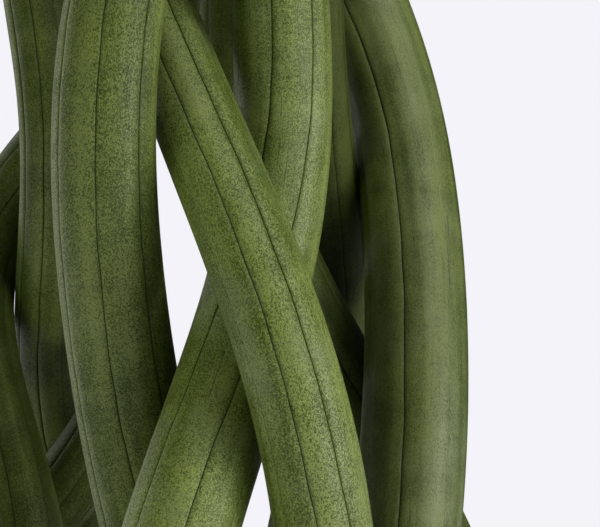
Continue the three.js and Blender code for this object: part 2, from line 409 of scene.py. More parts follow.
def leaf_skin(look):
    """Green skin: fine dark flecks, lengthwise lanes, faint crossing bands, grooves darkened with painted
    shade, and a brown point. Each leaf's tone scales it, and a low tone is painted shade.

    Its patterns follow each leaf as if it were straight, with their scales across, across and along it."""
    paint = Paint("leaf_skin", {"Specular IOR Level": 0.1, "Coat Roughness": 0.55})
    straight = paint.attribute("straight", "Vector")
    gap = paint.attribute("groove_gap")
    depth = paint.attribute("groove_strength")
    to_tip = paint.attribute("to_tip")
    above_soil = paint.attribute("above_soil")
    gloss = paint.attribute("gloss")

    flecks = paint.noise(straight, 1 / look.fleck_size, detail=2.0, roughness=0.6)
    pores = paint.cells(straight, 2.6 / look.fleck_size)
    specks = paint.cell_tones(straight, 2.0 / look.fleck_size)
    patches = paint.noise(straight, 130.0, detail=4.0, roughness=0.6)
    bands = paint.streaks(straight, (14.0, 14.0, 62.0), detail=4.0, roughness=0.6, distortion=0.4)
    fibres = paint.streaks(straight, (1500.0, 1500.0, 45.0), detail=2.0)
    fibre_fields = paint.streaks(straight, (150.0, 150.0, 40.0), detail=1.0)
    stripes = paint.streaks(straight, (430.0, 430.0, 16.0), detail=3.0, roughness=0.55)
    lanes = paint.streaks(straight, (170.0, 170.0, 7.0), detail=1.0)

    grain = ((flecks - 0.5) * 1.3 + (specks - 0.5) * 0.8 + (0.45 - pores) * 0.5) * look.fleck_contrast
    grain = grain * paint.attribute("grain") * (0.5 + lanes)
    marks = (patches - 0.5) * 0.7 + (bands - 0.5) * look.band_contrast
    lengthwise = (stripes - 0.5) * 0.7 + (lanes - 0.5) * look.lane_contrast
    bright = (0.5 + grain + marks + lengthwise).ease(-0.15, 1.15)
    skin = paint.blend(bright, opaque(look.dark), opaque(look.light))
    waxy = paint.noise(straight, 85.0, detail=4.0, roughness=0.65).ease(0.45, 0.72)
    skin = paint.blend(waxy * look.bloom * gloss, skin, opaque(look.wax))

    streak = fibres.ease(0.6, 0.7) * fibre_fields.ease(0.52, 0.64)
    skin = paint.blend(streak * 0.5, skin, opaque(look.groove))
    broken = paint.streaks(straight, (0.0, 0.0, 160.0), detail=3.0)
    # Painted shade: a near-black line down the bottom of each groove.
    groove_shade_line = gap.ease(0.2, 0.05) * depth.ease(0.05, 0.75) * (0.62 + 0.6 * broken)
    skin = paint.blend(groove_shade_line.at_most(0.95), skin, opaque(look.groove))
    # Painted shade: the cheeks beside each groove are darkened towards the dark green.
    cheek_shade = gap.ease(0.7, 0.1) * depth * 0.35
    skin = paint.blend(cheek_shade, skin, opaque(look.dark))

    foot = (above_soil + (patches - 0.5) * 16.0).ease(20.0, 2.0)
    skin = paint.blend(foot * 0.75, skin, opaque(look.foot))
    dry = (to_tip + (flecks - 0.5) * 6.0).ease(15.0, 7.0)
    pale = (to_tip + (patches - 0.5) * 10.0).ease(34.0, 15.0)
    skin = paint.blend(pale * 0.5, skin, opaque(look.foot))
    skin = paint.blend(dry, skin, opaque(look.point))
    # The tone darkens or lightens the whole leaf; below 1 it is painted shade.
    skin = paint.stretch(skin, paint.attribute("tone"))

    rough = look.roughness + (flecks - 0.5) * 0.25 + groove_shade_line * 0.2 + dry * 0.2
    relief = flecks * 0.7 + specks * 0.35 - pores * 0.4 - streak * 0.5
    wax_coat = ((0.25 + bright * 1.1) * gloss * (1.0 - groove_shade_line) * (1.0 - dry)).at_most(1.0)
    normal = paint.bump(relief, look.relief)
    return paint.feed(Base_Color=skin, Roughness=rough, Coat_Weight=wax_coat, Normal=normal)


def dried_fibre(look):
    """Dried palm fibre: straw colour with long darker fibres."""
    paint = Paint("tie_fibre", {"Specular IOR Level": 0.3})
    along = paint.attribute("along", "Vector")
    fibres = paint.streaks(along, (60.0, 2600.0, 2600.0), detail=3.0, roughness=0.6)
    stains = paint.noise(along, 120.0, detail=3.0)
    tone = (fibres * 0.75 + stains * 0.45).ease(0.3, 0.9)
    colour = paint.blend(tone, opaque(look.dark), opaque(look.light))
    rough = 0.65 + fibres * 0.25
    return paint.feed(Base_Color=colour, Roughness=rough, Normal=paint.bump(fibres, look.relief))


def potting_soil(look):
    """Dark peat: crumbs, fibres and a few paler flecks."""
    paint = Paint("potting_soil", {"Specular IOR Level": 0.2})
    place = paint.place()
    crumbs = paint.cells(place, 420.0)
    grit = paint.noise(place, 900.0, detail=4.0, roughness=0.65)
    damp = paint.noise(place, 35.0, detail=3.0)
    fibres = paint.streaks(place, (1900.0, 260.0, 900.0), detail=2.0)
    tone = (grit * 0.7 + crumbs * 0.25 + damp * 0.35).ease(0.3, 1.0)
    colour = paint.blend(tone, opaque(look.dark), opaque(look.light))
    colour = paint.blend(fibres.ease(0.66, 0.74) * 0.6, colour, opaque(look.fibre))
    relief = grit * 0.6 + crumbs * 0.4
    rough = 0.82 + grit * 0.18
    return paint.feed(Base_Color=colour, Roughness=rough, Normal=paint.bump(relief, look.relief))


def soil_grit(name, dark, light, relief):
    """Small loose bits: crumbs, bark and pumice."""
    paint = Paint(name, {"Specular IOR Level": 0.25})
    place = paint.place()
    grain = paint.noise(place, 1100.0, detail=4.0, roughness=0.65)
    lump = paint.noise(place, 260.0, detail=2.0)
    tone = (grain * 0.6 + lump * 0.5).ease(0.3, 0.8)
    colour = paint.blend(tone, opaque(dark), opaque(light))
    rough = 0.75 + grain * 0.25
    return paint.feed(Base_Color=colour, Roughness=rough, Normal=paint.bump(grain, relief))


def fired_clay(look):
    """Fired clay: sandy grain, throwing lines, fire marks, and pale lime on the rim and the low wall."""
    paint = Paint("fired_clay", {"Specular IOR Level": 0.25})
    place = paint.place()
    sand = paint.noise(place, 1400.0, detail=4.0, roughness=0.65)
    cloud = paint.noise(place, 14.0, detail=5.0, roughness=0.6)
    wheel = paint.streaks(place, (4.0, 4.0, 420.0), detail=3.0, roughness=0.6)
    bloom = paint.noise(place, 38.0, detail=6.0, roughness=0.66, distortion=0.6)
    pits = paint.cells(place, 330.0)
    height = paint.add("ShaderNodeSeparateXYZ", {}, {0: place}, "Z")
    tone = 0.5 + (cloud - 0.5) * 1.3 + (sand - 0.5) * 0.8 + (wheel - 0.5) * 0.28
    colour = paint.blend(tone.ease(0.1, 0.95), opaque(look.dark), opaque(look.light))
    low = height.ease(0.065, 0.0) * 0.35
    high = height.ease(0.168, 0.182) * 0.3
    lime = (bloom + low + high).ease(0.64, 0.9) * (0.45 + sand * 0.5)
    colour = paint.blend(lime * 0.6, colour, opaque(look.lime))
    pit = pits.ease(0.16, 0.05)
    colour = paint.blend(pit * 0.4, colour, opaque(look.dark))
    relief = sand * 0.35 + wheel * 0.5 - pit * 0.5 + lime * 0.12
    rough = 0.74 + sand * 0.2
    return paint.feed(Base_Color=colour, Roughness=rough, Normal=paint.bump(relief, look.relief))


FLOOR_MOTTLE = 0.97  # how light the darker places of the floor are
FADE_START = 0.35  # shares of the floor's radius between which it fades into the surroundings
FADE_END = 0.95


def pale_floor(look):
    """A pale matt floor, which fades into the pale surroundings before its edge."""
    paint = Paint("pale_floor", {"Roughness": 0.8, "Specular IOR Level": 0.2})
    place = paint.place()
    grain = paint.noise(place, 60.0, detail=3.0)
    darker = tuple(channel * FLOOR_MOTTLE for channel in look.floor)
    colour = paint.blend(grain, opaque(darker), opaque(look.floor))
    distance = paint.add("ShaderNodeVectorMath", {"operation": "LENGTH"}, {0: place}, "Value")
    glow = paint.add("ShaderNodeEmission", {}, {"Color": opaque(look.surroundings), "Strength": 1.0})
    lit = Wire(paint, paint.shader.outputs[0])
    edge = distance.ease(look.floor_radius * FADE_START, look.floor_radius * FADE_END)
    faded = paint.add("ShaderNodeMixShader", {}, {0: edge, 1: lit, 2: glow})
    paint.tree.links.new(faded.socket, paint.tree.nodes["Material Output"].inputs["Surface"])
    return paint.feed(Base_Color=colour)


# ---- Modelling helpers ----------------------------------------------------------------------------------


def clear_selection():
    if bpy.context.object and bpy.context.object.mode != "OBJECT":
        bpy.ops.object.mode_set(mode="OBJECT")
    bpy.ops.object.select_all(action="DESELECT")


def points_of(piece):
    """A mesh's vertices as an array of rows."""
    flat = np.empty(len(piece.data.vertices) * 3)
    piece.data.vertices.foreach_get("co", flat)
    return flat.reshape(-1, 3)


def move_points(piece, points):
    piece.data.vertices.foreach_set("co", np.asarray(points, dtype=float).ravel())
    piece.data.update()


def mark(piece, name, values):
    """Stores one number or one vector for each vertex."""
    values = np.asarray(values, dtype=float)
    kind, key = ("FLOAT_VECTOR", "vector") if values.ndim == 2 else ("FLOAT", "value")
    attribute = piece.data.attributes.new(name, kind, "POINT")
    attribute.data.foreach_set(key, values.ravel())


def close_seams(piece, distance=1e-7):
    """Merges doubled vertices and turns all faces outwards."""
    bpy.context.view_layer.objects.active = piece
    bpy.ops.object.mode_set(mode="EDIT")
    bpy.ops.mesh.select_all(action="SELECT")
    bpy.ops.mesh.remove_doubles(threshold=distance)
    bpy.ops.mesh.normals_make_consistent(inside=False)
    bpy.ops.object.mode_set(mode="OBJECT")


def apply_modifiers(piece):
    bpy.context.view_layer.objects.active = piece
    for modifier in list(piece.modifiers):
        bpy.ops.object.modifier_apply(modifier=modifier.name)


def join(pieces):
    """Joins pieces into the first of them."""
    clear_selection()
    for piece in pieces:
        piece.select_set(True)
    bpy.context.view_layer.objects.active = pieces[0]
    bpy.ops.object.join()
    return pieces[0]


def hand_over(piece, name, material, slot, *nodes):
    """Names a finished piece, gives it its finish, hangs it under the body and hides the frame's nodes that
    it stands for.
    """
    clear_selection()
    piece.select_set(True)
    bpy.context.view_layer.objects.active = piece
    bpy.ops.object.transform_apply(location=True, rotation=True, scale=True)
    piece.name = name
    piece.data.name = name
    piece.data.materials.clear()
    piece.data.materials.append(material)
    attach(piece, BODY)
    if nodes:
        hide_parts(*nodes)


# ---- Leaves ---------------------------------------------------------------------------------------------

GROOVE_SHOULDERS = (0.1, 0.22, 0.5, 1.0, 1.8)  # places of the points beside a groove, in mm
PANEL_POINTS = 5  # more points across the panel between two grooves
LEAF_ROWS = 236
POINT_ROWS = 20
POINT_LENGTH = 22.0  # how far below the tip the rows start to get closer
WOBBLE_LENGTHS = (2.1, 3.4, 5.5)  # mm along a groove for each radian of its three small waves
SWELLS = 5
PATTERN_STEP = 1000.0  # mm between two leaves in the skin's pattern, so that no two have the same marks


def leaf_heights(leaf):
    """The heights of a leaf's rows: even, then closer towards the point. The first and last close it."""
    bottom = SOIL_LEVEL - ROOT_DEPTH
    neck = leaf.tip - POINT_LENGTH
    even = np.linspace(bottom, neck, LEAF_ROWS)
    closing = neck + POINT_LENGTH * np.sin(np.linspace(0, math.pi / 2, POINT_ROWS + 1)[1:])
    return np.concatenate([[bottom], even, closing])


def groove_columns(leaf):
    """For each column round a leaf: its groove, its distance from that, and its bearing. Then the pitch."""
    count = leaf.grooves.count
    pitch = math.tau * leaf.girth / count
    near = [-shoulder for shoulder in reversed(GROOVE_SHOULDERS)] + [0.0, *GROOVE_SHOULDERS]
    last = GROOVE_SHOULDERS[-1]
    panel = np.linspace(last, pitch - last, PANEL_POINTS + 2)[1:-1]
    offsets = np.concatenate([near, panel])
    groove = np.repeat(np.arange(count), len(offsets))
    offset = np.tile(offsets, count)
    bearing = np.radians(leaf.grooves.first) + (groove * pitch + offset) / leaf.girth
    nearest = np.where(offset > pitch / 2, (groove + 1) % count, groove)
    distance = np.where(offset > pitch / 2, pitch - offset, np.abs(offset))
    return nearest, distance, bearing, pitch


def groove_strengths(grooves, z, draw):
    """How strong each groove of a leaf is at the heights z, with a row for each groove."""
    strengths = []
    for groove in range(grooves.count):
        level = 1.0 if groove in grooves.clear else grooves.faint * draw.uniform(0.6, 1.2)
        wave, start = draw.uniform(25.0, 60.0), draw.uniform(0, math.tau)
        strengths.append(level * (0.86 + 0.14 * np.sin(z / wave + start)))
    return np.array(strengths)


def swells(angle, z, draw):
    """The sum of a few slow waves round and along a leaf."""
    total = 0.0
    for _ in range(SWELLS):
        turns, length, start = draw.randint(0, 3), draw.uniform(18.0, 90.0), draw.uniform(0, math.tau)
        total = total + np.sin(turns * angle + z / length + start)
    return total


def mark_skin(piece, braid, index, seed, row, angle):
    """Stores where each point is on the leaf made straight, how far from the ends, and the leaf's tone, grain
    and gloss; a low tone is painted shade.
    """
    leaf = braid.leaves[index]
    heights = leaf_heights(leaf)
    course = leaf_centre(braid, index, heights)
    steps = np.linalg.norm(np.diff(course, axis=0), axis=1)
    arc = np.concatenate([[0.0], np.cumsum(steps)])
    around = angle - math.radians(leaf.grooves.first)
    along = arc[row] + PATTERN_STEP * seed
    straight = np.stack([leaf.girth * np.sin(around), leaf.girth * np.cos(around), along], axis=-1)
    mark(piece, "straight", straight * MM)
    mark(piece, "to_tip", arc[-1] - arc[row])
    mark(piece, "above_soil", heights[row] - SOIL_LEVEL)
    for name, value in (("tone", leaf.tone), ("grain", leaf.grain), ("gloss", leaf.gloss)):
        mark(piece, name, np.full(len(row), value))


def model_leaf(braid, index, look, seed):
    """Rolls a flat grid round a leaf's course, with its grooves and gently crowned panels."""
    leaf = braid.leaves[index]
    draw = random.Random(seed)
    heights = leaf_heights(leaf)
    nearest, distance, bearing, pitch = groove_columns(leaf)
    columns, rows = len(bearing), len(heights) - 1

    clear_selection()
    bpy.ops.mesh.primitive_grid_add(x_subdivisions=columns, y_subdivisions=rows, size=1)
    piece = bpy.context.object
    flat = points_of(piece)
    column = np.rint((flat[:, 0] + 0.5) * columns).astype(int) % columns
    row = np.rint((flat[:, 1] + 0.5) * rows).astype(int)

    z = heights[row]
    sway = SWAY_REACH * np.tanh((z - HEART) / SWAY_REACH)
    angle = bearing[column] + np.radians(leaf.grooves.drift * sway)
    for length in WOBBLE_LENGTHS:
        angle = angle + look.wobble / MM / leaf.girth * np.sin(z / length + draw.uniform(0, math.tau))
    strength = groove_strengths(leaf.grooves, z, draw)[nearest[column], np.arange(len(z))]
    gap = distance[column]
    crown = look.crown / MM * (0.6 - (1 - 2 * gap / pitch) ** 2)
    cut = look.groove_depth / MM * strength * np.exp(-gap / (look.groove_width / MM))
    uneven = look.unevenness / MM * swells(angle, z, draw)
    radius = leaf_radius(leaf, z)
    radius = radius + radius / leaf.girth * (uneven + crown - cut)
    radius = np.where((row == 0) | (row == rows), 0.0, np.maximum(radius, 0.0))

    right, front = leaf_directions(braid, index, z)
    outward = np.sin(angle)[:, None] * right + np.cos(angle)[:, None] * front
    move_points(piece, (leaf_centre(braid, index, z) + radius[:, None] * outward) * MM)
    mark_skin(piece, braid, index, seed, row, angle)
    mark(piece, "groove_gap", gap)
    mark(piece, "groove_strength", strength)
    close_seams(piece)
    bpy.ops.object.shade_smooth()
    return piece


# ---- Ties -----------------------------------------------------------------------------------------------

TIE_SEED = 40
TIE_TURNS = 3
TIE_POINTS = 220
TIE_BEARINGS = 721  # bearings at which the cord's outline is worked out
RING_TUBE = 0.25  # radius of the tube of the ring that a strand or a knot starts as
BOXINESS = 0.6  # how far a round section is pushed towards a rectangle: less is squarer

STRAND_SIDES = 14
STRAND_OVERLAP = 1.06  # a strand's width as a share of its part of the tie's width
STRAND_LIFT = 0.22  # how far a strand wanders up and down
STRAND_PINCH = 0.10  # share of its width that it gains and loses
STRAND_STEP = 9.0  # between two strands in the fibre's pattern

KNOT_POINTS = 40
KNOT_SIDES = 12
KNOT_HALF_WIDTH = 1.3
KNOT_OVERHANG = 0.5  # how far it goes over the edges of the strands
KNOT_LIFT = 0.35  # how far it stands off them
KNOT_SLANT = 0.12
KNOT_REACH = 4.0  # mm of fibre for each radian round it


def add_ring(points_round, points_across):
    """A ring of radius 1, with each point's angle and its place in the ring's section, out and up."""
    clear_selection()
    bpy.ops.mesh.primitive_torus_add(
        major_segments=points_round, minor_segments=points_across, major_radius=1.0, minor_radius=RING_TUBE
    )
    ring = bpy.context.object
    x, y, z = points_of(ring).T
    return ring, np.arctan2(y, x), (np.hypot(x, y) - 1.0) / RING_TUBE, z / RING_TUBE


def squared(share):
    return np.sign(share) * np.abs(share) ** BOXINESS


def tie_course(braid, margin):
    """Evenly spaced points of a cord drawn round a braid's leaves, that far off them, and its length."""
    height = crossing_end(braid)
    middles = [leaf_centre(braid, index, np.array(height))[:2] for index in range(len(braid.leaves))]
    radii = [float(leaf_radius(leaf, height)) for leaf in braid.leaves]
    outline = []
    for angle in np.linspace(0, math.tau, TIE_BEARINGS):
        way = np.array([math.cos(angle), math.sin(angle)])
        reach = [middle @ way + radius for middle, radius in zip(middles, radii)]
        outer = int(np.argmax(reach))
        outline.append(middles[outer] + (radii[outer] + margin) * way)
    outline = np.array(outline)
    travel = np.concatenate([[0.0], np.cumsum(np.linalg.norm(np.diff(outline, axis=0), axis=1))])
    even = np.linspace(0, travel[-1], TIE_POINTS, endpoint=False)
    course = np.stack([np.interp(even, travel, outline[:, axis]) for axis in (0, 1)], axis=-1)
    return course, travel[-1]


def model_strand(braid, look, turn, draw):
    """One flat turn of fibre round the braid, shaped from a ring."""
    half_thick = look.thickness / MM / 2
    half_width = TIE_WIDTH / TIE_TURNS / 2 * STRAND_OVERLAP
    course, length = tie_course(braid, half_thick)
    piece, angle, out, up = add_ring(TIE_POINTS, STRAND_SIDES)
    step = np.rint(angle / math.tau % 1.0 * TIE_POINTS).astype(int) % TIE_POINTS
    ahead = np.roll(course, -1, axis=0) - np.roll(course, 1, axis=0)
    ahead /= np.linalg.norm(ahead, axis=1, keepdims=True)
    outward = np.stack([ahead[:, 1], -ahead[:, 0]], axis=-1)

    out = squared(out) * half_thick
    up = squared(up) * half_width
    start = draw.uniform(0, math.tau)
    lift = STRAND_LIFT * np.sin(math.tau * step / TIE_POINTS * 2 + start)
    pinch = 1 + STRAND_PINCH * np.sin(math.tau * step / TIE_POINTS * 5 + start)
    level = crossing_end(braid) + (turn - (TIE_TURNS - 1) / 2) * TIE_WIDTH / TIE_TURNS
    sideways = course[step] + outward[step] * out[:, None]
    move_points(piece, np.column_stack([sideways, level + lift + up * pinch]) * MM)
    along = np.stack([step / TIE_POINTS * length, out, up + STRAND_STEP * turn], axis=-1)
    mark(piece, "along", along * MM)
    return piece


def model_knot(braid, look, draw):
    """The flat turn that pulls the strands together, on the side away from the plant's middle."""
    half_thick = look.thickness / MM / 2
    course, _ = tie_course(braid, half_thick)
    away = np.array(braid.axis) / np.linalg.norm(braid.axis)
    at = int(np.argmax((course - course.mean(axis=0)) @ away))
    ahead = course[(at + 1) % TIE_POINTS] - course[at - 1]
    ahead /= np.linalg.norm(ahead)
    outward = np.array([ahead[1], -ahead[0]])

    piece, angle, out, across = add_ring(KNOT_POINTS, KNOT_SIDES)
    out = out * half_thick
    height = squared(np.sin(angle)) * (TIE_WIDTH / 2 + KNOT_OVERHANG + out)
    depth = squared(np.cos(angle)) * (half_thick + KNOT_LIFT + out)
    side = across * KNOT_HALF_WIDTH + KNOT_SLANT * height
    sideways = course[at] + outward * depth[:, None] + ahead * side[:, None]
    move_points(piece, np.column_stack([sideways, crossing_end(braid) + height]) * MM)
    along = np.stack([angle * KNOT_REACH, out + draw.uniform(20, 90), across * KNOT_HALF_WIDTH], axis=-1)
    mark(piece, "along", along * MM)
    return piece


# ---- Soil -----------------------------------------------------------------------------------------------

SOIL_CELLS = 190
SOIL_GAP = 0.5  # between the soil and the pot's wall and floor
SOIL_FOOT_GAP = 0.8  # between the soil's bottom edge and the wall
SOIL_DROPS = (0.12, 0.88)  # shares of the soil's depth that each ring of its side goes down
SOIL_LUMPS = (("CLOUDS", 4.2, 3.0), ("VORONOI", 3.0, 2.2))  # each kind's size and height
BANK_HEIGHT = 1.6  # of the soil pressed up round a leaf
BANK_REACH = 3.5

SCATTER_SEED = 70
SCATTER_MARGIN = 4.0  # between the loose bits and the pot


def pot_inside(z):
    """The radius of the pot's inner wall at the height z."""
    share = (z - POT_FLOOR) / (POT_HEIGHT - POT_FLOOR)
    return (POT_FOOT - POT_WALL) + share * (POT_RIM - POT_FOOT)


def leaf_feet():
    """Where each leaf enters the soil and its radius there, in mm."""
    feet = []
    for braid in BRAIDS:
        for index, leaf in enumerate(braid.leaves):
            centre = leaf_centre(braid, index, np.array(SOIL_LEVEL + SOIL_CROWN))
            feet.append((centre[0], centre[1], leaf.girth))
    return feet


def soil_height(x, y, feet):
    """The soil's surface, in mm: a low crown with soft dips, pressed up a little round each leaf."""
    edge = pot_inside(SOIL_LEVEL)
    share = np.hypot(x, y) / edge
    level = SOIL_LEVEL + SOIL_CROWN * (1 - share**3)
    level = level + 0.9 * np.sin(x / 11.0 + 1.3) * np.sin(y / 13.0 + 0.4) + 0.5 * np.sin(x / 5.1 + y / 6.3)
    for foot_x, foot_y, girth in feet:
        off = np.hypot(x - foot_x, y - foot_y) - girth
        level = level + BANK_HEIGHT * np.exp(-((off / BANK_REACH) ** 2)) * clamp01(1.4 - share)
    return level


def model_soil():
    """A fine disc raised into crumbly ground, with its side and bottom drawn down inside the pot."""
    clear_selection()
    bpy.ops.mesh.primitive_grid_add(x_subdivisions=SOIL_CELLS, y_subdivisions=SOIL_CELLS, size=2)
    piece = bpy.context.object
    flat = points_of(piece)
    x, y = flat[:, 0], flat[:, 1]
    # The square becomes a disc whose cells keep nearly one size.
    edge = pot_inside(SOIL_LEVEL) - SOIL_GAP
    disc_x = edge * x * np.sqrt(1 - y * y / 2)
    disc_y = edge * y * np.sqrt(1 - x * x / 2)
    move_points(piece, np.stack([disc_x, disc_y, soil_height(disc_x, disc_y, leaf_feet())], axis=-1) * MM)

    for kind, size, height in SOIL_LUMPS:
        texture = bpy.data.textures.new(f"soil_{kind.lower()}", kind)
        texture.noise_scale = size * MM
        modifier = piece.modifiers.new(kind.title(), "DISPLACE")
        modifier.texture = texture
        modifier.texture_coords = "LOCAL"
        modifier.direction = "Z"
        modifier.mid_level = 0.5
        modifier.strength = height * MM
    apply_modifiers(piece)

    bpy.context.view_layer.objects.active = piece
    bpy.ops.object.mode_set(mode="EDIT")
    bpy.ops.mesh.select_mode(type="EDGE")
    bpy.ops.mesh.select_all(action="DESELECT")
    bpy.ops.mesh.select_non_manifold(
        use_wire=False, use_multi_face=False, use_non_contiguous=False, use_verts=False
    )
    depth = (SOIL_LEVEL - POT_FLOOR - SOIL_GAP) * MM
    narrow = (pot_inside(POT_FLOOR) - SOIL_FOOT_GAP) / edge
    for share in SOIL_DROPS:
        bpy.ops.mesh.extrude_region_move(TRANSFORM_OT_translate={"value": (0, 0, -depth * share)})
        step = 1 - (1 - narrow) * share
        bpy.ops.transform.resize(value=(step, step, 1), center_override=(0, 0, 0))
    bpy.ops.transform.resize(value=(1, 1, 0), center_override=(0, 0, (POT_FLOOR + SOIL_GAP) * MM))
    bpy.ops.mesh.edge_face_add()
    bpy.ops.mesh.select_all(action="SELECT")
    bpy.ops.mesh.normals_make_consistent(inside=False)
    bpy.ops.object.mode_set(mode="OBJECT")
    bpy.ops.object.shade_smooth()
    return piece


@dataclass
class Lump:
    """A kind of loose bit: its proportions, how jagged it is, and its least, greatest and usual size."""

    stretch: tuple
    jag: float
    sizes: tuple


CRUMB = Lump(stretch=(1, 0.9, 0.75), jag=0.22, sizes=(0.5, 1.7, 0.8))
BARK_CHIP = Lump(stretch=(1.7, 0.8, 0.35), jag=0.18, sizes=(1.0, 3.0, 1.6))
PUMICE_GRAIN = Lump(stretch=(1, 0.85, 0.8), jag=0.2, sizes=(0.7, 2.0, 1.1))


def model_lump(kind, seed):
    """One small lump, which is copied for all its kind."""
    draw = np.random.default_rng(seed)
    clear_selection()
    bpy.ops.mesh.primitive_uv_sphere_add(segments=7, ring_count=5, radius=1.0)
    lump = bpy.context.object
    points = points_of(lump) * np.array(kind.stretch)
    move_points(lump, points * (1 + kind.jag * draw.uniform(-1, 1, (len(points), 1))))
    return lump


def scatter(lump, count, sizes, seed):
    """Copies a lump over the soil between the leaves and joins the copies."""
    draw = random.Random(seed)
    feet = leaf_feet()
    edge = pot_inside(SOIL_LEVEL) - SCATTER_MARGIN
    copies = []
    while len(copies) < count:
        bearing, share = draw.uniform(0, math.tau), math.sqrt(draw.random())
        x, y = edge * share * math.cos(bearing), edge * share * math.sin(bearing)
        size = draw.triangular(*sizes)
        if any(math.hypot(x - foot[0], y - foot[1]) < foot[2] + size * 0.7 for foot in feet):
            continue
        copy = lump.copy()
        copy.data = lump.data.copy()
        bpy.context.collection.objects.link(copy)
        level = float(soil_height(x, y, feet))
        copy.location = (x * MM, y * MM, (level + size * 0.25) * MM)
        copy.rotation_euler = [draw.uniform(0, math.tau) for _ in range(3)]
        copy.scale = [size * MM] * 3
        copies.append(copy)
    bpy.data.objects.remove(lump)
    return join(copies)


# ---- Pot ------------------------------------------------------------------------------------------------

POT_SIDES = 144
UNDERSIDE_RINGS = (12.0, 9.0)  # how far inside the foot's edge the flat underside is divided
COLLAR_SLOPE = 1.2  # how much narrower the collar is at its lower edge
COLLAR_UPRIGHT = 0.45  # share of the collar, from above, that is upright


def model_pot(look):
    """Draws the pot out of its drain hole: over the foot, up the wall, over the rim and down inside."""
    band = POT_HEIGHT - POT_COLLAR
    rings = (
        *((POT_FOOT - inset, 0.0) for inset in UNDERSIDE_RINGS),
        (POT_FOOT, 0.0),
        ((POT_FOOT + POT_NECK) / 2, band / 2),
        (POT_NECK, band),
        (POT_RIM - COLLAR_SLOPE, band),
        (POT_RIM, POT_HEIGHT - POT_COLLAR * COLLAR_UPRIGHT),
        (POT_RIM, POT_HEIGHT),
        (POT_RIM - POT_WALL, POT_HEIGHT),
        (pot_inside(band), band),
        (pot_inside(POT_FLOOR), POT_FLOOR),
        (POT_DRAIN, POT_FLOOR),
        (POT_DRAIN, 0.0),
    )
    clear_selection()
    bpy.ops.mesh.primitive_circle_add(vertices=POT_SIDES, radius=POT_DRAIN * MM, location=(0, 0, 0))
    piece = bpy.context.object
    bpy.ops.object.mode_set(mode="EDIT")
    bpy.ops.mesh.select_all(action="SELECT")
    reach, level = POT_DRAIN, 0.0
    for radius, height in rings:
        bpy.ops.mesh.extrude_region_move(TRANSFORM_OT_translate={"value": (0, 0, (height - level) * MM)})
        share = radius / reach
        bpy.ops.transform.resize(value=(share, share, 1), center_override=(0, 0, height * MM))
        reach, level = radius, height
    bpy.ops.object.mode_set(mode="OBJECT")
    close_seams(piece, 1e-6)
    rounding = piece.modifiers.new("rounding", "BEVEL")
    rounding.width = look.rounding
    rounding.segments = 5
    rounding.limit_method = "ANGLE"
    rounding.angle_limit = math.radians(35)
    apply_modifiers(piece)
    bpy.ops.object.shade_smooth_by_angle(angle=math.radians(40))
    return piece


# ---- Settings -------------------------------------------------------------------------------------------


def colour_property(name, description, value):
    return bpy.props.FloatVectorProperty(
        name=name, description=description, default=value, size=3, subtype="COLOR", min=0.0, max=1.0
    )


def length_property(name, description, value):
    return bpy.props.FloatProperty(
        name=name,
        description=description,
        default=value,
        min=0.0,
        precision=5,
        subtype="DISTANCE",
        unit="LENGTH",
    )


def power_property(name, description, value):
    return bpy.props.FloatProperty(name=name, description=description, default=value, min=0.0, unit="POWER")


def count_property(name, description, value):
    return bpy.props.IntProperty(name=name, description=description, default=value, min=0)


def share_property(name, description, value, most=1.0):
    return bpy.props.FloatProperty(
        name=name, description=description, default=value, min=0.0, max=most, subtype="FACTOR"
    )


class LeafLook(bpy.types.PropertyGroup):
    """Sizes and colours of the leaves' skin."""

    groove_depth: length_property("Groove depth", "Depth of a clear groove at the soil", 0.00032)
    groove_width: length_property("Groove width", "How far from its bottom it is two thirds up", 0.00026)
    wobble: length_property("Wobble", "How far the grooves stray from straight", 0.00006)
    crown: length_property("Panel crown", "How far the skin between two grooves bulges", 0.00022)
    unevenness: length_property("Unevenness", "Height of each slow swell along a leaf", 0.00006)
    relief: length_property("Skin relief", "Height of the fine grain of the skin", 0.00015)
    fleck_size: length_property("Fleck size", "Width of the fine dark flecks", 0.00045)
    fleck_contrast: share_property("Fleck contrast", "How dark the flecks are", 1.2, 4.0)
    band_contrast: share_property("Band contrast", "How clear the crossing bands are", 0.8, 3.0)
    lane_contrast: share_property("Lane contrast", "How clear the broad lengthwise lanes are", 1.3, 3.0)
    bloom: share_property("Bloom", "How much of the skin the grey wax hides", 0.35)
    roughness: share_property("Roughness", "Roughness of the waxy skin", 0.58)
    dark: colour_property("Dark green", "Skin at a fleck", (0.036, 0.062, 0.002))
    light: colour_property("Light green", "Skin between the flecks", (0.184, 0.240, 0.045))
    wax: colour_property("Wax", "Grey bloom on the skin", (0.115, 0.150, 0.064))
    # The groove colour is painted shade at the bottom of each groove; it also colours the dark fibre streaks.
    groove: colour_property("Groove", "The bottom of a groove", (0.010, 0.014, 0.004))
    foot: colour_property("Foot", "Paler skin at the soil and below the point", (0.26, 0.25, 0.10))
    point: colour_property("Point", "The dry point of a leaf", (0.23, 0.13, 0.065))


class TieLook(bpy.types.PropertyGroup):
    """Sizes and colours of the ties."""

    thickness: length_property("Thickness", "Thickness of one turn of fibre", 0.0011)
    relief: length_property("Fibre relief", "Height of the fine fibres", 0.00025)
    dark: colour_property("Dark fibre", "The darker fibres", (0.20, 0.13, 0.06))
    light: colour_property("Light fibre", "The lighter fibres", (0.56, 0.42, 0.23))


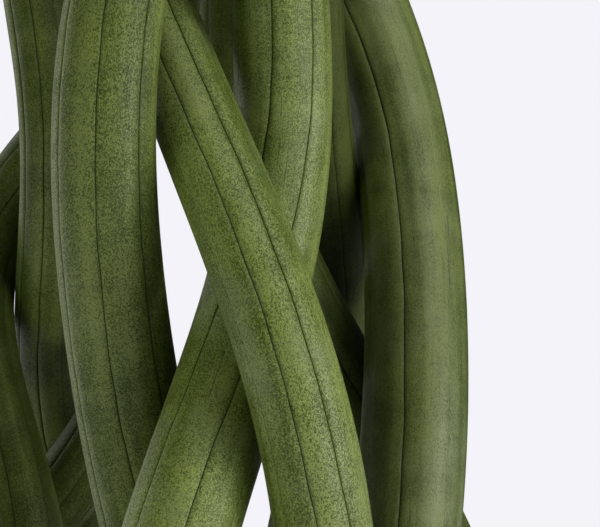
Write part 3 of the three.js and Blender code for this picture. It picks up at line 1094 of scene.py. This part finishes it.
class SoilLook(bpy.types.PropertyGroup):
    """How many loose bits lie on the soil, how fine it is, and its colours."""

    crumbs: count_property("Crumbs", "Loose crumbs of soil", 620)
    chips: count_property("Bark", "Chips of bark", 110)
    grains: count_property("Pumice", "Grains of pumice", 90)
    relief: length_property("Soil relief", "Height of the soil's fine grain", 0.0012)
    grit_relief: length_property("Grit relief", "Height of the fine grain of the loose bits", 0.0005)
    dark: colour_property("Dark soil", "Damp peat", (0.012, 0.008, 0.005))
    light: colour_property("Light soil", "Dry peat", (0.085, 0.055, 0.034))
    fibre: colour_property("Fibre", "Fine roots and coir, and the lighter bark", (0.20, 0.13, 0.075))
    bark: colour_property("Dark bark", "The darker bark", (0.05, 0.026, 0.014))
    dusty: colour_property("Dusty pumice", "The darker pumice", (0.42, 0.40, 0.36))
    pumice: colour_property("Light pumice", "The lighter pumice", (0.72, 0.70, 0.66))


class PotLook(bpy.types.PropertyGroup):
    """Sizes and colours of the pot."""

    rounding: length_property("Rounding", "Rounding of the rim and the foot", 0.0026)
    relief: length_property("Clay relief", "Height of the sand and the wheel marks", 0.0005)
    dark: colour_property("Dark clay", "Fire marks and pits", (0.26, 0.085, 0.038))
    light: colour_property("Light clay", "The clay's own colour", (0.56, 0.225, 0.108))
    lime: colour_property("Lime", "Pale bloom on the clay", (0.68, 0.52, 0.42))


class StageLook(bpy.types.PropertyGroup):
    """The floor, the surroundings, the lamps and the camera."""

    floor_radius: length_property("Floor radius", "Radius of the floor", 2.3)
    floor: colour_property("Floor", "Colour of the floor", (0.80, 0.80, 0.81))
    surroundings: colour_property("Surroundings", "Colour seen behind the plant", (0.905, 0.896, 0.947))
    surround_light: share_property("Surround light", "Light that the surroundings give", 0.04, 2.0)
    surround_tint: colour_property("Surround tint", "Colour of that light", (0.97, 0.98, 1.0))
    key_power: power_property("Key power", "Power of the large lamp on the right", 25.0)
    low_power: power_property("Low power", "Power of the small lamp low on the right", 0.16)
    front_power: power_property("Front power", "Power of the high lamp right of the camera", 20.0)
    top_power: power_property("Top power", "Power of the lamp above", 14.0)
    fill_power: power_property("Fill power", "Power of the lamp on the left", 19.0)
    rim_power: power_property("Rim power", "Power of the lamp behind on the left", 9.0)
    back_power: power_property("Back power", "Power of the high lamp behind", 46.0)
    warm: colour_property("Warm light", "Colour of all lamps but fill and back", (1.0, 0.985, 0.96))
    cool: colour_property("Cool light", "Colour of the fill and back lamps", (0.96, 0.98, 1.0))
    camera_place: bpy.props.FloatVectorProperty(
        name="Camera",
        description="Place of the camera",
        default=(0.024, -0.4915, 0.380),
        subtype="TRANSLATION",
    )
    lens: bpy.props.FloatProperty(
        name="Lens", description="Focal length", default=128.6, min=1.0, unit="CAMERA"
    )


# ---- Operators ------------------------------------------------------------------------------------------


class SNAKEPLANT_OT_leaves(bpy.types.Operator):
    """Model the nine leaves"""

    bl_idname = "snakeplant.leaves"
    bl_label = "Leaves"
    bl_options = {"REGISTER", "UNDO"}

    def execute(self, context):
        look = context.scene.snakeplant_leaves
        skin = leaf_skin(look)
        for rank, braid in enumerate(BRAIDS):
            for index in range(len(braid.leaves)):
                name = f"leaf_{braid.name}_{index + 1}"
                piece = model_leaf(braid, index, look, len(braid.leaves) * rank + index + 1)
                hand_over(piece, f"skin_{name}", skin, "leaf", name)
        return {"FINISHED"}


class SNAKEPLANT_OT_ties(bpy.types.Operator):
    """Model the tie round the top of each braid"""

    bl_idname = "snakeplant.ties"
    bl_label = "Ties"
    bl_options = {"REGISTER", "UNDO"}

    def execute(self, context):
        look = context.scene.snakeplant_ties
        fibre = dried_fibre(look)
        for rank, braid in enumerate(BRAIDS):
            draw = random.Random(TIE_SEED + rank)
            strands = [model_strand(braid, look, turn, draw) for turn in range(TIE_TURNS)]
            piece = join([*strands, model_knot(braid, look, draw)])
            close_seams(piece)
            bpy.ops.object.shade_smooth()
            hand_over(piece, f"tie_{braid.name}", fibre, "band", f"band_{braid.name}")
        return {"FINISHED"}


class SNAKEPLANT_OT_soil(bpy.types.Operator):
    """Model the soil with its crumbs, bark and pumice"""

    bl_idname = "snakeplant.soil"
    bl_label = "Soil"
    bl_options = {"REGISTER", "UNDO"}

    def execute(self, context):
        look = context.scene.snakeplant_soil
        hand_over(model_soil(), "soil_bed", potting_soil(look), "soil", "soil")
        loose = (
            ("soil_crumbs", CRUMB, look.crumbs, look.dark, look.light),
            ("soil_bark", BARK_CHIP, look.chips, look.bark, look.fibre),
            ("soil_pumice", PUMICE_GRAIN, look.grains, look.dusty, look.pumice),
        )
        for seed, (name, kind, count, dark, light) in enumerate(loose):
            bits = scatter(model_lump(kind, seed), count, kind.sizes, SCATTER_SEED + seed)
            bpy.ops.object.shade_smooth()
            hand_over(bits, name, soil_grit(name, dark, light, look.grit_relief), "soil")
        return {"FINISHED"}


class SNAKEPLANT_OT_pot(bpy.types.Operator):
    """Model the clay pot"""

    bl_idname = "snakeplant.pot"
    bl_label = "Pot"
    bl_options = {"REGISTER", "UNDO"}

    def execute(self, context):
        look = context.scene.snakeplant_pot
        hand_over(model_pot(look), "clay_pot", fired_clay(look), "pot", "pot")
        return {"FINISHED"}


def add_lamp(name, place, size, power, colour, spread=math.pi):
    """A soft lamp that looks at the plant's heart. Its size is its width and height."""
    way = Vector((0.0, 0.0, HEART * MM)) - Vector(place)
    turn = way.to_track_quat("-Z", "Y").to_euler()
    bpy.ops.object.light_add(type="AREA", location=place, rotation=turn)
    lamp = bpy.context.object
    lamp.name = name
    lamp.data.shape = "RECTANGLE"
    lamp.data.size, lamp.data.size_y = size
    lamp.data.energy = power
    lamp.data.color = colour
    lamp.data.spread = spread
    lamp.visible_camera = False
    return lamp


FLOOR_SIDES = 160
FLOOR_GAP = 0.6  # between the pot's foot and the floor


class SNAKEPLANT_OT_stage(bpy.types.Operator):
    """Set up the floor, the surroundings, the lamps and the camera"""

    bl_idname = "snakeplant.stage"
    bl_label = "Stage"
    bl_options = {"REGISTER", "UNDO"}

    def execute(self, context):
        look = context.scene.snakeplant_stage
        self.lay_floor(look)
        self.surround(context.scene, look)
        self.light(look)
        bpy.ops.object.camera_add(location=look.camera_place, rotation=(math.pi / 2, 0, 0))
        camera = bpy.context.object
        camera.name = "camera"
        camera.data.lens = look.lens
        camera.data.clip_start = 0.01
        context.scene.camera = camera
        context.scene.view_settings.view_transform = "Standard"
        return {"FINISHED"}

    def lay_floor(self, look):
        """A round floor just under the pot."""
        clear_selection()
        below = (0, 0, -FLOOR_GAP * MM)
        bpy.ops.mesh.primitive_circle_add(
            vertices=FLOOR_SIDES, radius=look.floor_radius, fill_type="TRIFAN", location=below
        )
        floor = bpy.context.object
        bpy.ops.object.transform_apply(location=True, rotation=False, scale=False)
        floor.name = "floor"
        floor.data.materials.append(pale_floor(look))

    def surround(self, scene, look):
        """Pale surroundings behind everything, which give less light than they show."""
        world = bpy.data.worlds.new("studio")
        scene.world = world
        world.use_nodes = True
        nodes, links = world.node_tree.nodes, world.node_tree.links
        shown = nodes["Background"]
        shown.inputs["Color"].default_value = opaque(look.surroundings)
        lighting = nodes.new("ShaderNodeBackground")
        lighting.inputs["Color"].default_value = opaque(look.surround_tint)
        lighting.inputs["Strength"].default_value = look.surround_light
        choice = nodes.new("ShaderNodeMixShader")
        ray = nodes.new("ShaderNodeLightPath")
        links.new(ray.outputs["Is Camera Ray"], choice.inputs[0])
        links.new(lighting.outputs[0], choice.inputs[1])
        links.new(shown.outputs[0], choice.inputs[2])
        links.new(choice.outputs[0], nodes["World Output"].inputs["Surface"])

    def light(self, look):
        """Most light comes from the right, low and high. The rest opens the shadows and lights edges."""
        add_lamp("key", (2.08, -0.72, 0.27), (0.75, 0.45), look.key_power, look.warm)
        add_lamp("low", (0.63, -0.43, 0.10), (0.3, 0.2), look.low_power, look.warm, math.radians(50))
        add_lamp("front", (1.53, -1.11, 1.86), (0.75, 0.6), look.front_power, look.warm)
        add_lamp("top", (0.3, -0.3, 2.4), (1.2, 1.2), look.top_power, look.warm)
        fill = add_lamp("fill", (-1.94, -1.36, 0.72), (1.1, 1.5), look.fill_power, look.cool)
        fill.visible_glossy = False
        add_lamp("rim", (-1.8, 1.3, 0.5), (0.6, 1.1), look.rim_power, look.warm)
        add_lamp("back", (-0.9, 1.5, 2.2), (1.4, 1.2), look.back_power, look.cool)


class SNAKEPLANT_PT_panel(bpy.types.Panel):
    """Lists what can be modelled, with its sizes and colours"""

    bl_idname = "SNAKEPLANT_PT_panel"
    bl_label = "Braided snake plant"
    bl_space_type = "VIEW_3D"
    bl_region_type = "UI"
    bl_category = "Snake plant"

    def draw(self, context):
        for operator, holder, _ in STEPS:
            box = self.layout.box()
            box.operator(operator.bl_idname)
            look = getattr(context.scene, holder)
            for name in look.bl_rna.properties.keys():
                if name not in {"rna_type", "name"}:
                    box.prop(look, name)


STEPS = (
    (SNAKEPLANT_OT_stage, "snakeplant_stage", StageLook),
    (SNAKEPLANT_OT_leaves, "snakeplant_leaves", LeafLook),
    (SNAKEPLANT_OT_ties, "snakeplant_ties", TieLook),
    (SNAKEPLANT_OT_soil, "snakeplant_soil", SoilLook),
    (SNAKEPLANT_OT_pot, "snakeplant_pot", PotLook),
)


def register():
    for operator, holder, look in STEPS:
        bpy.utils.register_class(look)
        bpy.utils.register_class(operator)
        setattr(bpy.types.Scene, holder, bpy.props.PointerProperty(type=look))
    bpy.utils.register_class(SNAKEPLANT_PT_panel)


def unregister():
    bpy.utils.unregister_class(SNAKEPLANT_PT_panel)
    for operator, holder, look in reversed(STEPS):
        delattr(bpy.types.Scene, holder)
        bpy.utils.unregister_class(operator)
        bpy.utils.unregister_class(look)


def main():
    register()
    bpy.ops.snakeplant.stage()
    bpy.ops.snakeplant.leaves()
    bpy.ops.snakeplant.ties()
    bpy.ops.snakeplant.soil()
    bpy.ops.snakeplant.pot()


if __name__ == "__main__":
    main()
